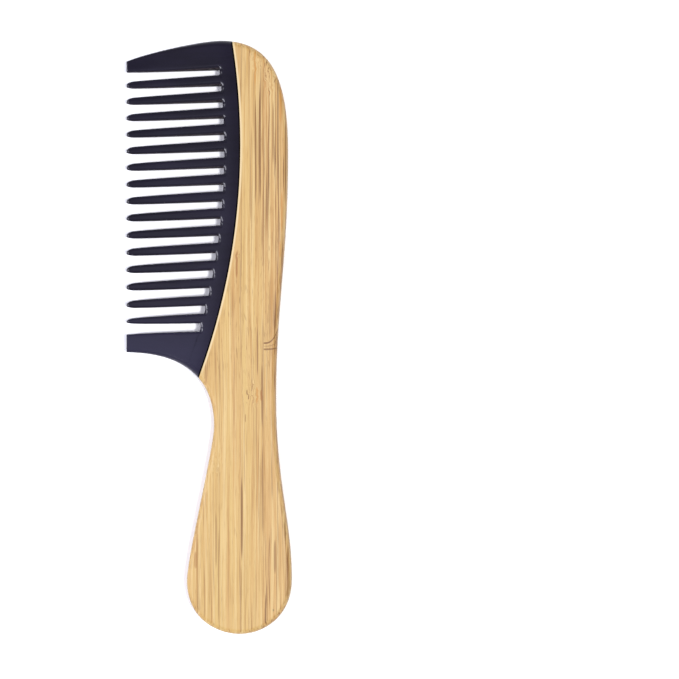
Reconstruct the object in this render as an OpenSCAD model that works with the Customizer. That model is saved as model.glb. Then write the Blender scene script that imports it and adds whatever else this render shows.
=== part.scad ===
// Wide tooth comb: a dark horn comb plate let into the edge of a laminated bamboo handle.
//
// The comb lies flat on its underside, z = 0. X runs from the tooth tips (-X) to the
// back of the head (+X), Y from the foot of the handle (-Y) to the top of the head (+Y).
// The origin is the middle of the comb's footprint.

/* [Overall] */
// Length, from the foot of the handle to the top of the head
comb_l = 195; // [185:1:205]
// Width, from the tooth tips to the widest point of the foot
comb_w = 54.5; // [52.5:0.5:56.5]
// Thickness of the handle and of the plate along the seam
comb_t = 8; // [7.5:0.5:10]

/* [Head and handle] */
// Width of the head, from the tooth tips to its back
head_w = 53.25; // [51.5:0.25:54]
// Width of the handle at its neck
neck_w = 20.3; // [18.8:0.5:21.8]
// Width of the handle across its foot
foot_w = 34.4; // [32:0.4:36]
// Distance of the neck's inner edge from the middle of the comb, across
neck_x = 1.75; // [0.75:0.25:2.75]
// Distance of the widest part of the foot below the middle of the comb
foot_y = 80; // [77:1:82]

/* [Seam] */
// Radius of the curved seam between horn and bamboo
seam_r = 220; // [190:5:260]
// Furthest reach of the seam towards the back of the head
seam_x = 10.5; // [10:0.25:11.5]
// Height of that point above the middle of the comb
seam_y = 63; // [60:1:66]
// Thickness of the plate's tongue, which fills the groove in the bamboo
tongue_t = 3; // [2:0.5:4]
// Depth of the tongue, from the seam
tongue_d = 6; // [3:0.5:8]

/* [Teeth] */
// Number of gaps, which is one more than the number of thin teeth
gaps = 16; // [12:1:16]
// Tooth spacing at the top of the head
first_pitch = 5.3; // [5:0.1:5.5]
// Tooth spacing next to the handle
last_pitch = 5.9; // [5.5:0.1:6]
// Height of the first gap's inner end above the middle of the comb
first_gap_y = 87.3; // [86.1:0.2:87.9]
// Width of a gap at its inner end, as a share of the tooth spacing
gap_share = 0.45; // [0.36:0.01:0.52]
// How much wider a gap is at the tooth tips, as a share of the tooth spacing
flare_share = 0.15; // [0.08:0.01:0.24]
// Distance over which a gap loses most of that extra width
flare_reach = 10; // [4:0.5:12]
// Radius of the two corners at a gap's inner end
corner_r = 0.4; // [0.2:0.1:0.8]
// Length of a tooth's rounded nose
nose_l = 2.8; // [1:0.2:3.4]
// How far a nose is rounded off, from square (0) to a full oval (1)
nose_round = 0.95; // [0.7:0.05:1]
// How far below the tooth's middle its nose comes to an end
nose_drop = 0.25; // [0:0.05:0.4]
// Angle by which the teeth droop towards the handle
droop = 2.9; // [0:0.1:3.5]
// The same angle for the last gap, beside the lower guard tooth
last_droop = 1.3; // [0:0.1:3.5]
// Solid web between the first gap's inner end and the seam
web_w = 5.5; // [4.5:0.25:6.5]
// The same beside the last gap
last_web_w = 4.8; // [4:0.2:6]
// Thickness of the plate at the tooth tips
tip_t = 2.3; // [1.5:0.1:3]

/* [Bamboo strips] */
// Thickness of one bamboo strip, across the comb
strip_w = 7.2; // [6.8:0.1:7.3]
// Glue line between the third and the fourth strip, from the middle of the comb
glue_x = 10.8; // [10.7:0.1:11.3]

/* [Hidden] */

horn_colour = [0.17, 0.16, 0.22];
bamboo_light = [0.89, 0.76, 0.55];
bamboo_dark = [0.85, 0.70, 0.48];

tip_x = -comb_w / 2;
foot_x = comb_w / 2;
back_x = tip_x + head_w;
top_y = comb_l / 2;
mid_z = comb_t / 2;
over = 1; // how far a cutting shape runs past what it cuts
outside = 6; // how far the plain blank runs past the tooth tips
seam_centre = [seam_x - seam_r, seam_y];
plate_reach = seam_x - tip_x; // from the seam to the tooth tips
tongue_ends = [-6, 90]; // the tongue stops short of the comb's outer edge
curve_steps = 12; // straight steps along one stretch of the outline
profile_steps = 12; // straight steps along the plate's hollowed faces
side_steps = 14; // straight steps along one side of a gap
corner_steps = 3; // straight steps round a corner at a gap's inner end
ring_fn = 360;

// The outline's knots, clockwise from the upper guard tooth. Each is its place, its
// heading in degrees (0 along +X, 90 along +Y), and how far the curve runs along that
// heading before it reaches the knot and after it leaves it.
outline_knots = [
    [[tip_x, top_y - 6.65], 23, 0, 8],
    [[4.2, top_y], 0, 6.5, 19],
    [[back_x, top_y - 37], -90, 20, 34],
    [[neck_x + neck_w, -20], -90, 30, 28],
    [[foot_x, -foot_y], -90, 19.5, 11.5],
    [[10.2, -top_y], -180, 8, 7.6],
    [[foot_x - foot_w, -foot_y], -270, 12.4, 8],
    [[neck_x, -29], -270, 7.5, 14],
    [[tip_x + 2, -5], -182, 19, 0],
];

function heading(a) = [cos(a), sin(a)];
function bezier(a, b, c, d, t) =
    a * pow(1 - t, 3) + 3 * b * pow(1 - t, 2) * t + 3 * c * (1 - t) * pow(t, 2) + d * pow(t, 3);
function stretch(from, to) =
    let (b = from[0] + from[3] * heading(from[1]), c = to[0] - to[2] * heading(to[1]))
    [for (i = [1:curve_steps]) bezier(from[0], b, c, to[0], i / curve_steps)];

// The blank's outline is the comb's, with its two ends carried straight on past the
// tooth tips, where the plate is cut off square.
function outline() =
    let (first = outline_knots[0], last = outline_knots[len(outline_knots) - 1])
    concat(
        [first[0] - outside * heading(first[1]), first[0]],
        [for (i = [0:len(outline_knots) - 2]) each stretch(outline_knots[i], outline_knots[i + 1])],
        [last[0] + (outside + 2) * heading(last[1])]
    );

// Half thickness of the plate at a distance from the seam, towards the tooth tips
function half_t(from_seam) =
    let (u = min(1, from_seam / plate_reach))
    tip_t / 2 + (comb_t - tip_t) / 2 * pow(1 - u, 3) * (1 + 3 * u);

// Inner end of gap k, where it stops short of the seam
function gap_y(k) =
    first_gap_y - k * first_pitch - (last_pitch - first_pitch) / (gaps - 2) * k * (k - 1) / 2;
function seam_at(y) = seam_centre.x + sqrt(pow(seam_r, 2) - pow(y - seam_y, 2));
function web_at(k) = web_w + (last_web_w - web_w) * k / (gaps - 1);
function gap_end(k) = [seam_at(gap_y(k)) - web_at(k), gap_y(k)];
function gap_droop(k) = k == gaps - 1 ? last_droop : droop;
function gap_length(k) = (gap_end(k).x - tip_x) / cos(gap_droop(k));
function mouth_y(k) = gap_y(k) - gap_length(k) * sin(gap_droop(k));
function pitch_at(k) = first_pitch + (last_pitch - first_pitch) * k / (gaps - 1);

// Half width of gap k at a distance from the tooth tips. The rounded nose of the tooth
// beside it takes it out towards nose_half, where that tooth's nose comes to an end.
function gap_half(k, from_tip, nose_half) =
    let (
        plain = pitch_at(k) / 2 * (gap_share + flare_share * exp(-from_tip / flare_reach)),
        in_nose = nose_round * max(0, 1 - from_tip / nose_l)
    )
    plain + (nose_half - plain) * (1 - sqrt(1 - pow(in_nose, 2)));

// One side of gap k, from its mouth round the corner at its inner end
function gap_side(k, nose_half) =
    let (length = gap_length(k), straight = length - corner_r, end_half = gap_half(k, straight, 0))
    concat(
        [for (i = [0:side_steps]) let (from_tip = straight * pow(i / side_steps, 2))
            [from_tip - length, gap_half(k, from_tip, nose_half)]],
        [for (i = [1:corner_steps]) let (a = 90 * i / corner_steps)
            [corner_r * (sin(a) - 1), end_half - corner_r * (1 - cos(a))]]
    );

// The comb's outline at full thickness, before the plate is hollowed and the teeth are cut
module blank() {
    linear_extrude(comb_t)
        polygon(outline());
}

// Everything on the teeth's side of the seam, with the tongue that enters the bamboo
module horn_side() {
    translate([seam_centre.x, seam_centre.y, -over])
        cylinder(h = comb_t + 2 * over, r = seam_r, $fn = ring_fn);
    intersection() {
        translate([seam_centre.x, seam_centre.y, mid_z - tongue_t / 2])
            cylinder(h = tongue_t, r = seam_r + tongue_d, $fn = ring_fn);
        translate([tip_x, tongue_ends[0], 0])
            cube([comb_w, tongue_ends[1] - tongue_ends[0], comb_t]);
    }
}

// The plate's thickness, turned about the centre of the seam: full at the seam and in
// the tongue, then hollowed down to thin tooth tips
module plate_thickness() {
    inner = [for (i = [0:profile_steps]) plate_reach * i / profile_steps];
    top = concat(
        [[seam_r + tongue_d + over, mid_z]],
        [for (d = inner) [seam_r - d, half_t(d)]],
        [[seam_r - plate_reach - over, tip_t / 2]]
    );
    translate([seam_centre.x, seam_centre.y, mid_z])
        rotate_extrude($fn = ring_fn)
        polygon(concat(top, [for (i = [len(top) - 1:-1:0]) [top[i].x, -top[i].y]]));
}

module gap(k) {
    plain = gap_half(k, nose_l, 0);
    above = k == 0 ? plain : (mouth_y(k - 1) - mouth_y(k)) / 2 - nose_drop;
    below = k == gaps - 1 ? plain : (mouth_y(k) - mouth_y(k + 1)) / 2 + nose_drop;
    lower = gap_side(k, below);
    mouth = gap_length(k) + outside;
    translate([gap_end(k).x, gap_end(k).y, -over])
        rotate(gap_droop(k))
        linear_extrude(comb_t + 2 * over)
        polygon(concat(
            [[-mouth, above]],
            gap_side(k, above),
            [for (i = [len(lower) - 1:-1:0]) [lower[i].x, -lower[i].y]],
            [[-mouth, -below]]
        ));
}

module comb_plate() {
    color(horn_colour)
        difference() {
            intersection() {
                blank();
                horn_side();
                plate_thickness();
                translate([tip_x, -top_y, -over])
                    cube([comb_w, comb_l, comb_t + 2 * over]);
            }
            for (k = [0:gaps - 1]) gap(k);
        }
}

// The part of the bamboo between two glue lines, and between two heights along the comb
module handle_part(x0, x1, y0 = -comb_l, y1 = comb_l) {
    intersection() {
        difference() {
            blank();
            horn_side();
        }
        translate([x0, y0, -over])
            cube([x1 - x0, y1 - y0, comb_t + 2 * over]);
    }
}

// Strip number i, counted from the teeth's side
module handle_strip(i) {
    x0 = glue_x + (i - 4) * strip_w;
    color(i % 2 == 0 ? bamboo_light : bamboo_dark)
        handle_part(i == 1 ? x0 - strip_w : x0, x0 + strip_w);
}

// The sixth strip is shaped away at the neck, so it is left in two pieces
module outer_strip(y0, y1) {
    color(bamboo_light)
        handle_part(glue_x + 2 * strip_w, foot_x + over, y0, y1);
}

comb_plate();
handle_strip(1);  // handle_strip_1
handle_strip(2);  // handle_strip_2
handle_strip(3);  // handle_strip_3
handle_strip(4);  // handle_strip_4
handle_strip(5);  // handle_strip_5
outer_strip(-comb_l, -20);  // handle_strip_6_foot
outer_strip(-20, comb_l);  // handle_strip_6_back
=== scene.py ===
"""Wide tooth comb: the looks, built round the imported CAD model.

Lengths are millimetres in the comb's own frame and become metres where a mesh is made.
X runs from the tooth tips (-X) to the back of the head (+X), Y from the foot of the
handle (-Y) to the top of the head (+Y), and the comb lies on its underside, z = 0.
"""
import math

import bmesh
import bpy
import numpy as np
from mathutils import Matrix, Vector


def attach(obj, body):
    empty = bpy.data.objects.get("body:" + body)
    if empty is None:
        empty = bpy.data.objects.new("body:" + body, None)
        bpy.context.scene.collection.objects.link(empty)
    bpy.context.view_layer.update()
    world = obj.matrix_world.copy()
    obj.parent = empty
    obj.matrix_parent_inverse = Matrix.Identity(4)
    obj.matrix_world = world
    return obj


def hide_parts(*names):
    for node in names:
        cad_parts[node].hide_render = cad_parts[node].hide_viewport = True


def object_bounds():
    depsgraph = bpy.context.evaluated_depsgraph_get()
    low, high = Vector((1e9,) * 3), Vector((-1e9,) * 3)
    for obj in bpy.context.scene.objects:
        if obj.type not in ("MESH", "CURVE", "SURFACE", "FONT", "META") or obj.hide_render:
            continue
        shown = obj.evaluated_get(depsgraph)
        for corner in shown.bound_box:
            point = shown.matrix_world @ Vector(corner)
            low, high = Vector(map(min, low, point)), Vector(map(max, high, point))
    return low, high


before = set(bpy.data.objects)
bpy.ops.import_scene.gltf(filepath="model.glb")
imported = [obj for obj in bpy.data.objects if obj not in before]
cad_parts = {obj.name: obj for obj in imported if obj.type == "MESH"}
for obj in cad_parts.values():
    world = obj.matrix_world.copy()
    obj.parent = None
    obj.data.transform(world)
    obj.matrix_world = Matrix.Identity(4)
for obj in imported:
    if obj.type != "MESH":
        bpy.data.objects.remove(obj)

cad_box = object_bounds()
MM = 0.001
MERGE_M = 1e-7      # points closer together than this become one, in metres

# ---------------------------------------------------------------- sizes from the frame
lo, hi = [np.array(c) / MM for c in cad_box]
TIP_X, FOOT_X = lo[0], hi[0]
TOP_Y = hi[1]
COMB_T = hi[2] - lo[2]
MID_Z = COMB_T / 2

# ---------------------------------------------------------------- the comb's dimensions
HEAD_W = 53.25      # tooth tips to the back of the head
NECK_X, NECK_W = 1.75, 20.3     # the neck's inner side, and its width
FOOT_W, FOOT_Y = 34.4, 80       # the foot's width, and how far below the middle it is
EDGE_R = 1.9        # rounding of the outer edge
SEAM_R = 220.0      # the seam is an arc, and its apex is where it lies furthest right
SEAM_APEX = np.array([10.5, 63.0])
TONGUE_T, TONGUE_D = 3.0, 6.0   # thickness and depth of the plate's hidden tongue
TONGUE_ENDS = (-6.0, 90.0)      # its lower end and its upper end
GAPS = 16
FIRST_PITCH, LAST_PITCH = 5.3, 5.9      # from gap to gap, at the top and at the bottom
FIRST_GAP_Y = 87.3  # where the first gap's inner end is
GAP_SHARE = 0.45    # the gap's share of the pitch, away from the tips
FLARE_SHARE, FLARE_REACH = 0.15, 10.0   # what its mouth gains, and how far in that reaches
GAP_CORNER = 0.4    # rounding of a gap's inner corners
NOSE_L = 2.8        # length of a tooth's rounded nose
NOSE_ROUND = 0.95   # how sharply it closes; 1 would bring its sides together
NOSE_DROP = 0.25    # how far the nose lies below the middle of its tooth
DROOP, LAST_DROOP = 2.9, 1.3    # degrees by which the gaps fall towards the tips
WEB_W, LAST_WEB_W = 5.5, 4.8    # from a gap's inner end to the seam, first and last gap
TIP_T = 2.3         # thickness of the plate at the tooth tips
STRIP_W = 7.2       # from glue line to glue line in the bamboo
GLUE_X = 10.8       # the glue line between the third strip and the fourth
SPLIT_Y = -20       # the neck, where nothing is left of the sixth strip

SEAM_CENTRE = SEAM_APEX - [SEAM_R, 0]
PLATE_REACH = SEAM_APEX[0] - TIP_X
BACK_X = TIP_X + HEAD_W

# Knots of the outline, clockwise from the upper guard tooth: place, heading in degrees,
# and how far the curve runs along that heading before and after the knot.
KNOTS = [
    ((TIP_X, TOP_Y - 6.65), 23, 0, 8),
    ((4.2, TOP_Y), 0, 6.5, 19),
    ((BACK_X, TOP_Y - 37), -90, 20, 34),
    ((NECK_X + NECK_W, -20), -90, 30, 28),
    ((FOOT_X, -FOOT_Y), -90, 19.5, 11.5),
    ((10.2, -TOP_Y), -180, 8, 7.6),
    ((FOOT_X - FOOT_W, -FOOT_Y), -270, 12.4, 8),
    ((NECK_X, -29), -270, 7.5, 14),
    ((TIP_X + 2, -5), -182, 19, 0),
]


def heading(degrees):
    """The unit step in a direction, counted from +X towards +Y."""
    a = math.radians(degrees)
    return np.array([math.cos(a), math.sin(a)])


def stretch(start, end, steps):
    """Points of the cubic curve from one knot to the next, without the first."""
    a, d = np.array(start[0], float), np.array(end[0], float)
    b = a + start[3] * heading(start[1])
    c = d - end[2] * heading(end[1])
    t = np.linspace(0, 1, steps + 1)[1:, None]
    return a * (1 - t) ** 3 + 3 * b * t * (1 - t) ** 2 + 3 * c * t**2 * (1 - t) + d * t**3


def outline(steps, before=6, after=8):
    """The comb's outline, with its two ends carried on past the tooth tips."""
    first, last = KNOTS[0], KNOTS[-1]
    points = [[first[0] - before * heading(first[1])], [first[0]]]
    points += [stretch(p, q, steps) for p, q in zip(KNOTS, KNOTS[1:])]
    points.append([last[0] + after * heading(last[1])])
    return np.concatenate([np.array(p, float) for p in points])


def seam_at(y):
    """Where the seam is at the height y."""
    return SEAM_CENTRE[0] + np.sqrt(SEAM_R**2 - (y - SEAM_APEX[1]) ** 2)


def half_t(from_seam):
    """Half thickness of the plate at a distance from the seam."""
    u = np.clip(from_seam / PLATE_REACH, 0, 1)
    return TIP_T / 2 + (COMB_T - TIP_T) / 2 * (1 - u) ** 3 * (1 + 3 * u)


# ---------------------------------------------------------------- the gaps between teeth
def gap_y(k):
    """Where the inner end of gap k is. The pitch grows evenly from gap to gap."""
    growth = (LAST_PITCH - FIRST_PITCH) / (GAPS - 2)
    return FIRST_GAP_Y - k * FIRST_PITCH - growth * k * (k - 1) / 2


def gap_end(k):
    """The middle of gap k's inner end."""
    web = WEB_W + (LAST_WEB_W - WEB_W) * k / (GAPS - 1)
    return np.array([seam_at(gap_y(k)) - web, gap_y(k)])


def gap_droop(k):
    return math.radians(LAST_DROOP if k == GAPS - 1 else DROOP)


def gap_length(k):
    return (gap_end(k)[0] - TIP_X) / math.cos(gap_droop(k))


def mouth_y(k):
    """The middle of gap k at the tooth tips."""
    return gap_y(k) - gap_length(k) * math.sin(gap_droop(k))


def nose_halves(k):
    """How far the sides of gaps k and k + 1 go out at the nose of the tooth between them."""
    middle = (mouth_y(k) - mouth_y(k + 1)) / 2
    return middle + NOSE_DROP, middle - NOSE_DROP


def gap_half(k, from_tip, nose=None):
    """Half width of gap k. The nose of the tooth beside it takes it out towards nose."""
    pitch = FIRST_PITCH + (LAST_PITCH - FIRST_PITCH) * k / (GAPS - 1)
    plain = pitch / 2 * (GAP_SHARE + FLARE_SHARE * np.exp(-from_tip / FLARE_REACH))
    if nose is None:
        return plain
    in_nose = NOSE_ROUND * np.clip(1 - from_tip / NOSE_L, 0, 1)
    return plain + (nose - plain) * (1 - np.sqrt(1 - in_nose**2))


def to_gap(k, p):
    """Points in gap k's own frame: x along the gap from its inner end, y across it."""
    c, s = math.cos(gap_droop(k)), math.sin(gap_droop(k))
    d = p - gap_end(k)
    return d[..., 0] * c + d[..., 1] * s, d[..., 1] * c - d[..., 0] * s


def from_gap(k, x, y):
    c, s = math.cos(gap_droop(k)), math.sin(gap_droop(k))
    return gap_end(k) + np.stack([x * c - y * s, x * s + y * c], -1)


def from_gap_edge(k, p, nose):
    """Distance of points on the plate from the edge of gap k."""
    x, y = to_gap(k, p)
    r = GAP_CORNER
    side = np.abs(y) - gap_half(k, x + gap_length(k), nose)
    corner = np.hypot(np.maximum(x + r, 0), np.maximum(side + r, 0)) - r
    return np.maximum(np.where(x > -r, corner, side), 0)


# ---------------------------------------------------------------- mesh helpers
def new_object(name, mesh):
    piece = bpy.data.objects.new(name, mesh)
    bpy.context.scene.collection.objects.link(piece)
    return piece


def mesh_from(name, verts, faces):
    mesh = bpy.data.meshes.new(name)
    mesh.from_pydata([tuple(v) for v in np.asarray(verts) * MM], [], faces)
    bm = bmesh.new()
    bm.from_mesh(mesh)
    bmesh.ops.remove_doubles(bm, verts=bm.verts, dist=MERGE_M)
    bmesh.ops.dissolve_degenerate(bm, edges=bm.edges, dist=MERGE_M)
    bmesh.ops.recalc_face_normals(bm, faces=bm.faces)
    bm.to_mesh(mesh)
    bm.free()
    return mesh


def combine(target, cutter, operation):
    """Replaces target's mesh with the boolean of the two, and removes the cutter."""
    mod = target.modifiers.new("combine", "BOOLEAN")
    mod.operation = operation
    mod.solver = "EXACT"
    mod.object = cutter
    graph = bpy.context.evaluated_depsgraph_get()
    mesh = bpy.data.meshes.new_from_object(target.evaluated_get(graph))
    target.modifiers.clear()
    old = target.data
    target.data = mesh
    bpy.data.meshes.remove(old)
    bpy.data.objects.remove(cutter)


def smooth(piece, degrees=35):
    """Smooth shading, except over edges that turn by more than the given angle."""
    piece.data.polygons.foreach_set("use_smooth", [True] * len(piece.data.polygons))
    piece.data.set_sharp_from_angle(angle=math.radians(degrees))


def prism(name, points, z0, z1):
    """A solid with the plan outline points, between two heights."""
    n = len(points)
    verts = [(x, y, z) for z in (z0, z1) for x, y in points]
    sides = [(i, (i + 1) % n, n + (i + 1) % n, n + i) for i in range(n)]
    faces = [tuple(range(n))[::-1], tuple(range(n, 2 * n))] + sides
    return new_object(name, mesh_from(name, verts, faces))


# ---------------------------------------------------------------- bamboo strips
CLEAR = 5       # how far a cutter reaches past the faces it cuts
FAR = 200       # a distance beyond either end of the comb


def rounded_blank(name, steps=40, edge_steps=14, flat=0.05):
    """The whole comb at full thickness with its outer edge rounded, as one closed skin.
    A ring just inside the rounding keeps the flat faces' shading flat."""
    points = outline(steps)
    n = len(points)
    along = np.roll(points, -1, 0) - np.roll(points, 1, 0)
    along /= np.linalg.norm(along, axis=1)[:, None]
    inward = np.stack([along[:, 1], -along[:, 0]], 1)
    turn = np.linspace(0, math.pi / 2, edge_steps + 1)
    inset = np.concatenate([[EDGE_R + flat], EDGE_R * (1 - np.sin(turn))])
    height = np.concatenate([[0], EDGE_R * (1 - np.cos(turn))])
    lower = list(zip(inset, height))
    rings = lower + [(d, COMB_T - z) for d, z in lower[::-1]]
    verts = [(*(p + d * w), z) for d, z in rings for p, w in zip(points, inward)]
    faces = [tuple(range(n))[::-1], tuple(range(len(verts) - n, len(verts)))]
    for k in range(len(rings) - 1):
        for i in range(n):
            j = (i + 1) % n
            faces.append((k * n + i, k * n + j, k * n + n + j, k * n + n + i))
    return new_object(name, mesh_from(name, verts, faces))


def seam_arc(radius, y0, y1, steps):
    y = np.linspace(y0, y1, steps + 1)
    x = SEAM_CENTRE[0] + np.sqrt(radius**2 - (y - SEAM_APEX[1]) ** 2)
    return list(zip(x, y))


def horn_side(reach=40, seam_steps=700, groove_steps=400):
    """Cutters for the seam and for the groove that takes the tongue."""
    left, low, high = TIP_X - reach, -TOP_Y / 4, TOP_Y + 10
    seam = seam_arc(SEAM_R, low, high, seam_steps)
    groove = seam_arc(SEAM_R + TONGUE_D, *TONGUE_ENDS, groove_steps)
    plate = prism("cut_seam", [(left, low)] + seam + [(left, high)], -CLEAR, COMB_T + CLEAR)
    slot = prism(
        "cut_groove",
        [(TIP_X, TONGUE_ENDS[0])] + groove + [(TIP_X, TONGUE_ENDS[1])],
        MID_Z - TONGUE_T / 2,
        MID_Z + TONGUE_T / 2,
    )
    return plate, slot


def box_cutter(x0, x1, y0, y1):
    corners = [(x0, y0), (x1, y0), (x1, y1), (x0, y1)]
    return prism("cut_strip", corners, -CLEAR, COMB_T + CLEAR)


def strip_left(number):
    """The left side of a strip before shaping: its first glue line."""
    return GLUE_X + (number - 4) * STRIP_W


def handle_strips():
    """One piece for each bamboo strip, cut from the shaped handle along the glue lines."""
    handle = rounded_blank("handle")
    for cutter in horn_side():
        combine(handle, cutter, "DIFFERENCE")
    cuts = {"handle_strip_1": (strip_left(0), strip_left(2), -FAR, FAR)}
    for i in range(2, 6):
        cuts[f"handle_strip_{i}"] = (strip_left(i), strip_left(i + 1), -FAR, FAR)
    cuts["handle_strip_6_foot"] = (strip_left(6), FOOT_X + CLEAR, -FAR, SPLIT_Y)
    cuts["handle_strip_6_back"] = (strip_left(6), FOOT_X + CLEAR, SPLIT_Y, FAR)
    strips = {}
    for node, cut in cuts.items():
        strip = new_object(node.replace("handle", "bamboo"), handle.data.copy())
        combine(strip, box_cutter(*cut), "INTERSECT")
        smooth(strip)
        strips[node] = strip
    bpy.data.objects.remove(handle)
    return strips


# ---------------------------------------------------------------- comb plate
# The plate is made as bands, one for each tooth. A band runs from the tooth's tip to the
# seam, between the edges of the gaps on its two sides, and is a grid of rows and columns.
SIDE_ROWS, CORNER_ROWS, END_ROWS, WEB_ROWS = 34, 5, 5, 12
GAP_ROWS = SIDE_ROWS + CORNER_ROWS + END_ROWS
ROW_CROWDING = 1.8  # above 1, rows lie closer together towards the tips
TOOTH_COLUMNS, GUARD_COLUMNS = 16, 34
EDGE_FADE = 1.1     # width over which a gap's edge is rounded
EDGE_DROP = 0.55    # how far that rounding falls
EDGE_OVAL = 3       # shape of the rounding: 2 is a circle, more keeps the top flatter
THIN_SHARE = 0.72   # most of the half thickness that the rounding may take
TIP_CORNER = 0.3    # rounding of a guard tooth's corners, seen from above
TIP_NOSE, GUARD_NOSE = 0.8, 0.3     # length over which a tip's thickness rounds off
TIP_BLEND = 20      # length over which an edge is moved to start exactly at the tips
SEAM_LINE, SEAM_DEPTH = 0.35, 0.5   # width and depth of the open joint along the seam
JOINT_WALL = 0.02   # width of that joint's sloping wall
TONGUE_COVER = 0.15     # the least height of the joint's floor above the tongue


def gap_path(k, side, nose):
    """One edge of the band beside gap k, from the tooth tips to the seam. side is 1 for
    the gap's upper edge and -1 for its lower edge."""
    r = GAP_CORNER
    length = gap_length(k)
    from_tip = (length - r) * np.linspace(0, 1, SIDE_ROWS + 1) ** ROW_CROWDING
    straight = from_gap(k, from_tip - length, side * gap_half(k, from_tip, nose))
    turn = np.linspace(0, math.pi / 2, CORNER_ROWS + 1)[1:]
    half = gap_half(k, length - r)
    corner = from_gap(k, r * np.sin(turn) - r, side * (half - r + r * np.cos(turn)))
    across = (half - r) * np.linspace(1, 0, END_ROWS + 1)[1:]
    end = from_gap(k, 0 * across, side * across)
    way = heading(math.degrees(gap_droop(k)))
    to_centre = gap_end(k) - SEAM_CENTRE
    b = to_centre @ way
    reach = -b + math.sqrt(b * b - to_centre @ to_centre + SEAM_R**2)
    web = gap_end(k) + np.linspace(0, 1, WEB_ROWS)[1:, None] * (reach - SEAM_LINE) * way
    joint = gap_end(k) + np.array([[reach - SEAM_LINE + JOINT_WALL], [reach]]) * way
    path = np.concatenate([straight, corner, end, web, joint])
    x0 = path[0, 0]
    path[:, 0] += (TIP_X - x0) * np.clip(1 - (path[:, 0] - x0) / TIP_BLEND, 0, 1)
    return path


def guard_path(curve, inner):
    """The outer edge of a guard tooth, row by row beside its inner edge."""
    share = (inner[:, 0] - inner[0, 0]) / (inner[-1, 0] - inner[0, 0])
    x = curve[0, 0] + share * (curve[-1, 0] - curve[0, 0])
    return np.stack([x, np.interp(x, curve[:, 0], curve[:, 1])], 1)


def round_corner(path, sign):
    """Draws a guard's edge in at its tip, so that the corner is round seen from above."""
    s = np.clip(1 - (path[:, 0] - TIP_X) / TIP_CORNER, 0, 1)
    path = path.copy()
    path[:, 1] += sign * TIP_CORNER * (1 - np.sqrt(1 - s**2))
    return path


def plate_curves(steps=200, below_seam=-40):
    """The outline's stretch above the upper guard tooth and the one below the lower."""
    points = outline(steps)
    beyond = points[:, 0] - seam_at(points[:, 1])
    beyond[points[:, 1] < below_seam] = 1     # the handle, which the seam doesn't reach
    cross = [i for i in range(1, len(points)) if beyond[i - 1] * beyond[i] < 0]
    ends = []
    for i in cross:
        f = beyond[i - 1] / (beyond[i - 1] - beyond[i])
        ends.append(points[i - 1] + f * (points[i] - points[i - 1]))
    top = np.vstack([points[: cross[0]], ends[0]])
    bottom = np.vstack([ends[-1], points[cross[-1]:]])[::-1]
    return cut_at_tips(top), cut_at_tips(bottom)


def cut_at_tips(curve):
    """The part of a curve right of the tooth tips, starting exactly at them."""
    i = int(np.argmax(curve[:, 0] > TIP_X + 1e-6))
    (x0, y0), (x1, y1) = curve[i - 1], curve[i]
    y = y0 + (y1 - y0) * (TIP_X - x0) / (x1 - x0)
    return np.vstack([[TIP_X, y], curve[i:]])


def oval_drop(share, depth, power=2):
    """How far a rounded edge has fallen: depth at its edge, where share is 0, and nothing
    from where share is 1."""
    return depth * (1 - (1 - np.clip(1 - share, 0, 1) ** power) ** (1 / power))


def band_heights(p, rows_half, gaps, outer):
    """Height of the plate's upper face above its middle, at the points p of one band."""
    from_tip = p[..., 0] - TIP_X
    h = half_t(SEAM_R - np.linalg.norm(p - SEAM_CENTRE, axis=-1))
    drop = np.zeros(h.shape)
    for k, nose in gaps:
        share = from_gap_edge(k, p, nose) / rows_half[:, None]
        depth = np.minimum(EDGE_DROP, THIN_SHARE * h)
        drop = np.maximum(drop, oval_drop(share, depth, EDGE_OVAL))
    if outer is not None:
        r = EDGE_R * h / MID_Z
        drop = np.maximum(drop, oval_drop(outer / r, r))
    nose = np.clip(1 - from_tip / (TIP_NOSE if outer is None else GUARD_NOSE), 0, 1)
    z = (h - drop) * np.sqrt(1 - nose**2)
    z[-2:] = np.maximum(z[-2:] - SEAM_DEPTH, TONGUE_T / 2 + TONGUE_COVER)
    return z


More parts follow.
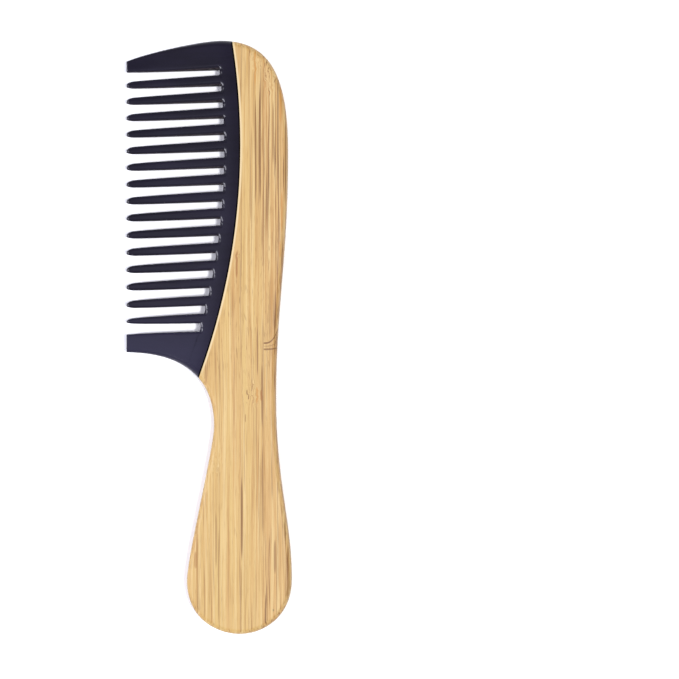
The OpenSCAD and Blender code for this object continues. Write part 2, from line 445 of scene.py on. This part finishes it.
def band(upper, lower, columns, gaps, outer_edge):
    """Top and bottom faces of the plate between two edges, and the walls that close it.
    outer_edge is 0 if the upper edge is the comb's outer edge, 1 if the lower one is, and
    None between two gaps."""
    share = (1 - np.cos(np.linspace(0, math.pi, columns + 1))) / 2
    p = upper[:, None] * (1 - share[:, None]) + lower[:, None] * share[:, None]
    rows = len(upper)
    outer = None
    width = np.full(rows, EDGE_FADE)
    if outer_edge is None:
        half = np.linalg.norm(upper - lower, axis=1) / 2
        half[SIDE_ROWS:] = EDGE_FADE
        width = np.minimum(EDGE_FADE, np.maximum(half, 1e-6))
    else:
        edge = (upper, lower)[outer_edge]
        slope = np.gradient(edge[:, 1], edge[:, 0])
        run = np.interp(p[..., 0], edge[:, 0], edge[:, 1])
        tilt = np.interp(p[..., 0], edge[:, 0], slope)
        outer = np.abs(p[..., 1] - run) / np.sqrt(1 + tilt**2)
        outer[:, -outer_edge] = 0     # the first column or the last lies on the edge
    z = band_heights(p, width, gaps, outer)
    top = np.dstack([p, MID_Z + z]).reshape(-1, 3)
    bottom = np.dstack([p, MID_Z - z]).reshape(-1, 3)
    size, wide = rows * (columns + 1), columns + 1
    faces = []
    for i in range(rows - 1):
        for j in range(columns):
            a = i * wide + j
            quad = (a, a + wide, a + wide + 1, a + 1)
            faces.append(quad)
            faces.append(tuple(size + v for v in quad[::-1]))
    for side, j in enumerate((0, columns)):
        for i in range(rows - 1 if outer_edge == side else GAP_ROWS):
            a, b = i * wide + j, (i + 1) * wide + j
            faces.append((a, b, size + b, size + a))
    for j in range(columns):
        a = (rows - 1) * wide + j
        faces.append((a, a + 1, size + a + 1, size + a))
    return np.vstack([top, bottom]), faces


def teeth():
    """What band needs for each tooth in turn, from the upper guard to the lower."""
    top, bottom = plate_curves()
    edge = round_corner(gap_path(0, 1, None), 1)
    guard = round_corner(guard_path(top, edge), -1)
    yield guard, edge, GUARD_COLUMNS, [(0, None)], 0
    for k in range(GAPS - 1):
        over, under = nose_halves(k)
        upper, lower = gap_path(k, -1, over), gap_path(k + 1, 1, under)
        yield upper, lower, TOOTH_COLUMNS, [(k, over), (k + 1, under)], None
    edge = round_corner(gap_path(GAPS - 1, -1, None), -1)
    guard = round_corner(guard_path(bottom, edge), 1)
    yield edge, guard, GUARD_COLUMNS, [(GAPS - 1, None)], 1


def comb_plate(tongue_steps=200, bite=1.5):
    """The whole plate. Its tongue starts inside the web, by bite, so that the two join."""
    verts, faces, count = [], [], 0
    for tooth in teeth():
        v, f = band(*tooth)
        verts.append(v)
        faces += [tuple(count + i for i in face) for face in f]
        count += len(v)
    plate = new_object("horn_comb_plate", mesh_from("horn_comb_plate", np.vstack(verts), faces))
    inner = seam_arc(SEAM_R - bite, *TONGUE_ENDS, tongue_steps)
    outer = seam_arc(SEAM_R + TONGUE_D, *TONGUE_ENDS, tongue_steps)
    tongue = prism("tongue", inner + outer[::-1], MID_Z - TONGUE_T / 2, MID_Z + TONGUE_T / 2)
    combine(plate, tongue, "UNION")
    smooth(plate)
    return plate


# ---------------------------------------------------------------- materials
WOOD_SHARE = (0.57, 0.54, 0.415, 1.0)   # the wood's own colour, of the colour it shows
NOISE_ROUGHNESS = 0.55


def linear(r, g, b):
    """Linear colour of an 8-bit screen colour."""
    return tuple(((c / 255 + 0.055) / 1.055) ** 2.4 if c > 10 else c / 255 / 12.92
                 for c in (r, g, b)) + (1.0,)


def wood(r, g, b):
    """A screen colour of the wood, less the studio's brightness and its pale sheen."""
    return tuple(c * s for c, s in zip(linear(r, g, b), WOOD_SHARE))


class Nodes:
    """Short ways to write a material's node tree."""

    def __init__(self, name):
        self.material = bpy.data.materials.new(name)
        self.material.use_nodes = True
        self.tree = self.material.node_tree
        self.shader = self.tree.nodes["Principled BSDF"]

    def wire(self, socket, value):
        if isinstance(value, bpy.types.NodeSocket):
            self.tree.links.new(value, socket)
        else:
            socket.default_value = value

    def math(self, operation, a, b=0.0, c=0.0, clamp=False):
        node = self.tree.nodes.new("ShaderNodeMath")
        node.operation = operation
        node.use_clamp = clamp
        for socket, value in zip(node.inputs, (a, b, c)):
            self.wire(socket, value)
        return node.outputs[0]

    def position(self):
        """The point on the comb in millimetres, as x, y and z."""
        where = self.tree.nodes.new("ShaderNodeTexCoord").outputs["Object"]
        split = self.tree.nodes.new("ShaderNodeSeparateXYZ")
        self.wire(split.inputs[0], where)
        return [self.math("DIVIDE", out, MM) for out in split.outputs]

    def normal(self):
        """The way the surface faces, as x, y and z."""
        split = self.tree.nodes.new("ShaderNodeSeparateXYZ")
        self.wire(split.inputs[0], self.tree.nodes.new("ShaderNodeNewGeometry").outputs["Normal"])
        return split.outputs

    def vector(self, x, y, z):
        node = self.tree.nodes.new("ShaderNodeCombineXYZ")
        for socket, value in zip(node.inputs, (x, y, z)):
            self.wire(socket, value)
        return node.outputs[0]

    def grain(self, xyz, sizes, seed, detail=2.0):
        """Noise from 0 to 1, with features of the given sizes in millimetres."""
        parts = [self.math("MULTIPLY_ADD", v, 1 / s, seed * 7.31) for v, s in zip(xyz, sizes)]
        node = self.tree.nodes.new("ShaderNodeTexNoise")
        self.wire(node.inputs["Vector"], self.vector(*parts))
        node.inputs["Scale"].default_value = 1.0
        node.inputs["Detail"].default_value = detail
        node.inputs["Roughness"].default_value = NOISE_ROUGHNESS
        return node.outputs["Fac"]

    def ramp(self, value, low, high):
        """0 at low and 1 at high, with an S-shaped rise or fall between them."""
        node = self.tree.nodes.new("ShaderNodeMapRange")
        node.interpolation_type = "SMOOTHSTEP"
        for name, v in (("Value", value), ("From Min", low), ("From Max", high)):
            self.wire(node.inputs[name], v)
        return node.outputs["Result"]

    def mix(self, factor, a, b):
        """The colour that goes from a to b with the factor."""
        node = self.tree.nodes.new("ShaderNodeMix")
        node.data_type = "RGBA"
        self.wire(node.inputs["Factor"], factor)
        self.wire(node.inputs["A"], a)
        self.wire(node.inputs["B"], b)
        return next(o for o in node.outputs if o.type == "RGBA")

    def bump(self, height, strength, distance):
        node = self.tree.nodes.new("ShaderNodeBump")
        node.inputs["Strength"].default_value = strength
        node.inputs["Distance"].default_value = distance * MM
        self.wire(node.inputs["Height"], height)
        self.wire(self.shader.inputs["Normal"], node.outputs[0])

    def spot(self, xyz, centre, size, ragged=0.0):
        """1 in the middle of an oval spot and 0 outside it, with a ragged edge."""
        dx, dy = [self.math("DIVIDE", self.math("SUBTRACT", v, c), s)
                  for v, c, s in zip(xyz, centre, size)]
        away = self.math("ADD", self.math("MULTIPLY", dx, dx), self.math("MULTIPLY", dy, dy))
        return self.ramp(self.math("ADD", away, ragged), 1.2, 0.2)

    def stroke(self, xyz, x, y0, y1, half):
        """A streak along the grain at x, from y0 to y1, fading out at its ends."""
        dx = self.math("DIVIDE", self.math("SUBTRACT", xyz[0], x), half)
        dy = self.math("DIVIDE", self.math("SUBTRACT", xyz[1], (y0 + y1) / 2), (y1 - y0) / 2)
        away = self.math("MULTIPLY_ADD", dx, dx, self.math("POWER", self.math("ABSOLUTE", dy), 4))
        return self.ramp(away, 1.1, 0.1)

    def ring(self, xyz, x0, x1, y, rise, half):
        """A line across the grain from x0 to x1 that rises more and more steeply."""
        t = self.math("DIVIDE", self.math("SUBTRACT", xyz[0], x0), x1 - x0)
        cube = self.math("POWER", self.math("MAXIMUM", t, 0), 3)
        curve = self.math("MULTIPLY_ADD", cube, rise, y)
        away = self.math("ABSOLUTE", self.math("SUBTRACT", xyz[1], curve))
        line = self.ramp(away, half, half / 3)
        return self.math("MULTIPLY", line, self.ramp(t, -0.02, 0.06))

    def from_seam(self, xyz):
        """Distance beyond the seam: negative on the horn's side."""
        dx, dy = [self.math("SUBTRACT", v, float(c)) for v, c in zip(xyz, SEAM_CENTRE)]
        away = self.math("MULTIPLY_ADD", dx, dx, self.math("MULTIPLY", dy, dy))
        return self.math("SUBTRACT", self.math("SQRT", away), SEAM_R)


LIGHT, YELLOW, TAN = wood(243, 214, 163), wood(232, 199, 134), wood(220, 174, 118)
STREAK, BROWN, ORANGE = wood(198, 146, 74), wood(138, 90, 26), wood(212, 148, 56)
CREAM, RUST = wood(252, 230, 196), wood(172, 112, 36)
# The first colour here is painted shade for the bamboo's steep sides.
PAINTED_SIDE_SHADE, SCAR = wood(168, 136, 104), wood(120, 118, 80)
HORN_DARK, HORN_LIGHT = linear(12, 9, 21), linear(22, 18, 34)
# The first colour here is a painted reflection and the last is painted shading for the walls.
HORN_PAINTED_REFLECTION, HORN_JOINT, HORN_PAINTED_WALL_SHADING = linear(42, 40, 62), linear(5, 4, 3), linear(60, 46, 54)
PAPER_DARK, PAPER_LIGHT = (0.93, 0.93, 0.93, 1), (0.95, 0.95, 0.95, 1)

# Streaks along the grain: x, lower end, upper end, half width, strength, colour
STREAKS = [
    (16.9, 43, 84, 0.28, 1.0, BROWN), (15.5, 42, 80, 0.25, 0.85, BROWN),
    (18.9, 50, 84, 0.3, 0.45, STREAK), (21.2, 56, 78, 0.3, 0.6, BROWN),
    (22.8, 46, 89, 0.28, 0.75, BROWN), (25.3, 42, 72, 0.25, 0.6, BROWN),
    (23.6, 70, 82, 0.3, 0.7, ORANGE), (24.0, 34, 48, 0.3, 0.7, ORANGE),
    (23.4, 26, 32, 0.3, 0.6, ORANGE), (24.1, 10, 30, 0.25, 0.6, BROWN),
    (15.4, 82, 96, 0.3, 0.7, ORANGE), (12.6, 60, 84, 0.5, 0.4, LIGHT),
    (9.4, 19, 29, 0.35, 0.75, RUST), (8.2, 6, 26, 0.3, 0.5, STREAK),
    (20.6, 4, 24, 0.3, 0.5, STREAK), (22.0, 2, 16, 0.25, 0.6, BROWN),
    (16.1, -13, 4, 0.25, 0.65, BROWN), (17.6, -30, -8, 0.3, 0.75, BROWN),
    (15.9, -22, -16, 0.3, 0.65, ORANGE), (17.4, -21, -17, 0.35, 0.85, RUST),
    (12.5, -19, -17, 0.18, 0.8, BROWN), (12.9, -20.4, -18.4, 0.15, 0.8, BROWN),
    (12.1, -28, -25, 0.15, 0.6, BROWN), (10.9, -74, -45, 0.3, 0.85, BROWN),
    (2.5, -76, -57, 0.25, 0.5, BROWN), (3.4, -95, -62, 0.3, 0.5, BROWN),
    (16.2, -58, -30, 0.25, 0.5, STREAK), (17.8, -66, -34, 0.3, 0.5, BROWN),
    (21.8, -78, -66, 0.4, 0.6, BROWN), (23.2, -84, -60, 0.3, 0.45, STREAK),
    (-4.2, -76, -70, 0.5, 0.5, RUST), (21.3, -89.8, -89, 0.25, 0.6, SCAR),
]
# Places where the grain curls round a knot: x, y, half width, half length, how much
CURLS = [
    (20.4, -2.6, 3.2, 5, 0.8), (14.2, -18.5, 4, 5, 1.6), (9.4, 29.5, 1.4, 5, 1.8),
    (15.6, 92, 2.4, 6, 1.6), (20, 85, 2.5, 6, 1.3), (2.7, -41, 2.2, 6, 1.6),
]
# Lines of the node across a strip: x at each end, y, rise, half width, strength
RINGS = [(18.1, 22.7, -1.9, 4.4, 0.42, 0.95), (18.1, 22.7, -2.9, 1.4, 0.3, 0.4),
         (18.1, 22.7, -3.9, 0.5, 0.4, 0.85)]
# How brown each strip is at its seam side and at its far side, and how strongly streaked
TONES = {1: (0.0, 0.1, 0.8), 2: (0.1, 0.15, 0.8), 3: (0.1, 0.2, 0.9),
         4: (-0.05, 0.2, 0.9), 5: (0.45, 0.5, 1.4), 6: (0.35, 0.3, 1.3)}


def grain_bend(m, xyz, number):
    """How far the fibres of a strip stray sideways: a little everywhere, more at knots."""
    x0, x1 = strip_left(number), strip_left(number + 1)
    near = [c for c in CURLS if x0 - 1 < c[0] < x1 + 1]
    bend = m.math("MULTIPLY_ADD", m.grain(xyz, (7, 50, 7), number + 40), 1.2, -0.6)
    for i, (cx, cy, sx, sy, much) in enumerate(near):
        stray = m.grain(xyz, (1.4, 3.2, 2), number + 50 + i)
        curl = m.math("MULTIPLY_ADD", stray, 2 * much, -much)
        bend = m.math("MULTIPLY_ADD", m.spot(xyz, (cx, cy), (sx, sy)), curl, bend)
    return bend


def strip_colour(m, xyz, bent, fibre, number):
    """The colour of a strip before its marks, and how dark its fine lines are. bent is xyz
    with the fibres' bend added."""
    x, y, _ = xyz
    broad = m.grain(bent, (1.7, 110, 3), number, 1.0)
    band = m.grain(bent, (0.8, 70, 1.2), number + 3, 2.0)
    lines = m.grain(bent, (0.34, 34, 0.5), number + 13, 2.0)
    tick = m.grain(bent, (0.22, 4.5, 0.4), number + 9, 1.0)
    brown0, brown1, much = TONES[number]

    across = m.ramp(x, strip_left(number), strip_left(number + 1))
    brown = m.math("MULTIPLY_ADD", across, brown1 - brown0, brown0)
    brown = m.math("ADD", brown, m.math("MULTIPLY", m.ramp(y, 20, 60), 0.16))
    brown = m.math("ADD", brown, m.math("MULTIPLY_ADD", broad, 1.3, -0.6))
    colour = m.mix(m.math("ADD", brown, 0.2, clamp=True), YELLOW, TAN)
    pale = m.math("MULTIPLY", m.ramp(band, 0.5, 0.64), 0.8)
    colour = m.mix(pale, colour, LIGHT)

    crowd = m.ramp(m.math("ADD", broad, m.math("MULTIPLY", brown, 0.25)), 0.35, 0.7)
    crowd = m.math("MULTIPLY_ADD", crowd, 0.55, 0.2)
    dark = m.math("MULTIPLY", m.ramp(lines, 0.53, 0.63), crowd)
    colour = m.mix(m.math("MULTIPLY", dark, much, clamp=True), colour, BROWN)
    soft = m.math("MULTIPLY", m.ramp(band, 0.44, 0.3), 0.5 * much)
    colour = m.mix(soft, colour, STREAK)
    colour = m.mix(m.math("MULTIPLY", m.ramp(fibre, 0.52, 0.68), 0.4), colour, STREAK)
    colour = m.mix(m.math("MULTIPLY", m.ramp(fibre, 0.46, 0.3), 0.45), colour, LIGHT)

    middle = m.math("MULTIPLY", m.ramp(y, -20, 0), m.ramp(y, 50, 20))
    busy = m.math("MULTIPLY_ADD", middle, 0.4, 0.22)
    ticks = m.math("MULTIPLY", m.ramp(tick, 0.62, 0.72), busy)
    return m.mix(ticks, colour, BROWN), dark


def add_marks(m, colour, xyz, near_bent, number):
    """A strip's glue lines, streaks and node lines, its pale edge at the seam and painted
    shade on its steep sides. near_bent is xyz with half of the fibres' bend added."""
    x, y, _ = xyz
    x0, x1 = strip_left(number), strip_left(number + 1)
    for i, edge in enumerate((x0, x1)):
        away = m.math("ABSOLUTE", m.math("SUBTRACT", x, edge))
        along = m.grain(xyz, (30, 16, 30), 70 + number + i, 1.0)
        line = m.math("MULTIPLY", m.ramp(away, 0.2, 0.04), m.ramp(along, 0.35, 0.65))
        colour = m.mix(m.math("MULTIPLY", line, 0.6), colour, BROWN)
    for sx, y0, y1, half, strength, paint in STREAKS:
        if x0 - 0.3 < sx < x1 + 0.3:
            mask = m.math("MULTIPLY", m.stroke(near_bent, sx, y0, y1, 1.3 * half), strength)
            colour = m.mix(mask, colour, paint)
    for r0, r1, ry, rise, half, strength in RINGS:
        if x0 - 0.5 < r0 and r1 < x1 + 0.5:
            mask = m.math("MULTIPLY", m.ring(xyz, r0, r1, ry, rise, half), strength)
            colour = m.mix(mask, colour, BROWN)
    rim = m.math("MULTIPLY", m.ramp(m.from_seam(xyz), 0.8, 0.4), m.ramp(y, -14, -8))
    colour = m.mix(m.math("MULTIPLY", rim, 0.9), colour, CREAM)
    # painted shade: the steep sides are darkened in colour to stand in for the shade that falls
    # on them
    steep = m.ramp(m.math("ABSOLUTE", m.normal()[2]), 0.6, 0.2)
    return m.mix(m.math("MULTIPLY", steep, 0.55), colour, PAINTED_SIDE_SHADE)


def bamboo(number):
    """The material of one bamboo strip."""
    m = Nodes(f"bamboo_{number}")
    x, y, z = xyz = m.position()
    bend = grain_bend(m, xyz, number)
    bent = (m.math("ADD", bend, x), y, z)
    near_bent = (m.math("MULTIPLY_ADD", bend, 0.5, x), y, z)
    fibre = m.grain(bent, (0.17, 12, 0.3), number + 5, 3.0)
    colour, dark = strip_colour(m, xyz, bent, fibre, number)
    m.wire(m.shader.inputs["Base Color"], add_marks(m, colour, xyz, near_bent, number))
    m.wire(m.shader.inputs["Roughness"], m.math("MULTIPLY_ADD", fibre, 0.15, 0.42))
    m.bump(m.math("SUBTRACT", fibre, m.math("MULTIPLY", dark, 0.6)), 0.3, 0.03)
    return m.material


def horn():
    """Dark polished horn with a dull black joint, a painted reflection that makes it paler low
    down, and painted shading that gives its walls a redder tone.
    """
    m = Nodes("horn")
    x, y, _ = xyz = m.position()
    cloud = m.grain(xyz, (30, 14, 12), 2, 3.0)
    streak = m.grain(xyz, (16, 0.9, 1.2), 3, 3.0)
    fine = m.grain(xyz, (2.5, 0.12, 0.3), 5, 2.0)
    tone = m.math("MULTIPLY_ADD", streak, 0.3, m.math("MULTIPLY", cloud, 0.7))
    colour = m.mix(m.ramp(tone, 0.3, 0.75), HORN_DARK, HORN_LIGHT)
    # painted reflection: the horn is made paler and bluer low down and towards the tips, standing
    # in for studio light reflected there
    low = m.math("MULTIPLY", m.ramp(y, 14, -6), m.ramp(x, 20, -16))
    colour = m.mix(m.math("MULTIPLY", low, 0.5), colour, HORN_PAINTED_REFLECTION)
    joint = m.ramp(m.from_seam(xyz), -0.6, -SEAM_LINE)
    colour = m.mix(m.math("MULTIPLY", joint, 0.95), colour, HORN_JOINT)
    # painted shading: the steep walls get a lighter, redder tone for how they look in the light;
    # they are also made rougher
    steep = m.ramp(m.math("ABSOLUTE", m.normal()[2]), 0.55, 0.2)
    colour = m.mix(m.math("MULTIPLY", steep, 0.9), colour, HORN_PAINTED_WALL_SHADING)
    m.wire(m.shader.inputs["Base Color"], colour)
    rough = m.math("MULTIPLY_ADD", steep, 0.55, m.math("MULTIPLY_ADD", fine, 0.06, 0.16))
    m.wire(m.shader.inputs["Roughness"], rough)
    m.wire(m.shader.inputs["Metallic"], joint)      # takes the sheen off the joint
    m.shader.inputs["Specular IOR Level"].default_value = 0.36
    m.bump(fine, 0.12, 0.01)
    return m.material


def paper():
    """The pale floor."""
    m = Nodes("paper")
    tone = m.grain(m.position(), (40, 40, 40), 1, 2.0)
    m.wire(m.shader.inputs["Base Color"], m.mix(tone, PAPER_DARK, PAPER_LIGHT))
    m.shader.inputs["Roughness"].default_value = 0.9
    m.shader.inputs["Specular IOR Level"].default_value = 0.1
    return m.material


# ---------------------------------------------------------------- pieces
def place(piece, node, material):
    piece.data.materials.clear()
    piece.data.materials.append(material)
    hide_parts(node)
    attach(piece, "root")


place(comb_plate(), "comb_plate", horn())
for node, strip in handle_strips().items():
    place(strip, node, bamboo(int(node.split("_")[2])))


# ---------------------------------------------------------------- floor, light, camera
FLOOR_M = 6         # side of the floor, in metres
CAMERA_AT = (43.0, -0.7, 623)   # above the middle of the picture
SENSOR, LENS = 36, 99.5
SKY_LOW, SKY_HIGH = 1.4, 0.2    # strength at the horizon and overhead
SKY_TURN = 0.95     # how high up, of 1, the sky reaches its overhead strength
SKY_COLOUR = (0.9, 0.92, 1.0, 1)


def floor():
    bpy.ops.mesh.primitive_grid_add(x_subdivisions=4, y_subdivisions=4, size=FLOOR_M)
    piece = bpy.context.object
    piece.name = "floor"
    piece.data.materials.append(paper())


def area_light(name, place_mm, size_mm, watts, colour=(1, 1, 1)):
    """A soft light aimed at the comb, with a width and a height."""
    lamp = bpy.data.lights.new(name, "AREA")
    lamp.shape = "ELLIPSE"
    lamp.size, lamp.size_y = [v * MM for v in size_mm]
    lamp.energy = watts
    lamp.color = colour
    holder = new_object(name, lamp)
    holder.location = Vector(place_mm) * MM
    holder.rotation_euler = (-Vector(place_mm)).to_track_quat("-Z", "Y").to_euler()


def camera():
    """Looking straight down, with the comb to the left of the picture's middle."""
    data = bpy.data.cameras.new("camera")
    data.sensor_width = SENSOR
    data.lens = LENS
    holder = new_object("camera", data)
    holder.location = Vector(CAMERA_AT) * MM
    bpy.context.scene.camera = holder


def studio():
    """Light from all round, bright near the horizon and dim overhead."""
    world = bpy.data.worlds.new("studio")
    world.use_nodes = True
    tree = world.node_tree
    way = tree.nodes.new("ShaderNodeTexCoord").outputs["Generated"]
    split = tree.nodes.new("ShaderNodeSeparateXYZ")
    ramp = tree.nodes.new("ShaderNodeMapRange")
    tree.links.new(way, split.inputs[0])
    tree.links.new(split.outputs["Z"], ramp.inputs["Value"])
    ramp.inputs["From Min"].default_value = 0.0
    ramp.inputs["From Max"].default_value = SKY_TURN
    ramp.inputs["To Min"].default_value = SKY_LOW
    ramp.inputs["To Max"].default_value = SKY_HIGH
    tree.links.new(ramp.outputs[0], tree.nodes["Background"].inputs["Strength"])
    tree.nodes["Background"].inputs["Color"].default_value = SKY_COLOUR
    bpy.context.scene.world = world


floor()
area_light("key", (330, -80, 1200), (150, 150), 11.2)
area_light("fill", (-720, -40, 840), (600, 500), 9.8, (0.88, 0.88, 1.0))
area_light("card", (-300, 60, 1200), (340, 280), 0.2, (0.75, 0.77, 1.0))
studio()
bpy.context.scene.view_settings.view_transform = "Standard"
camera()
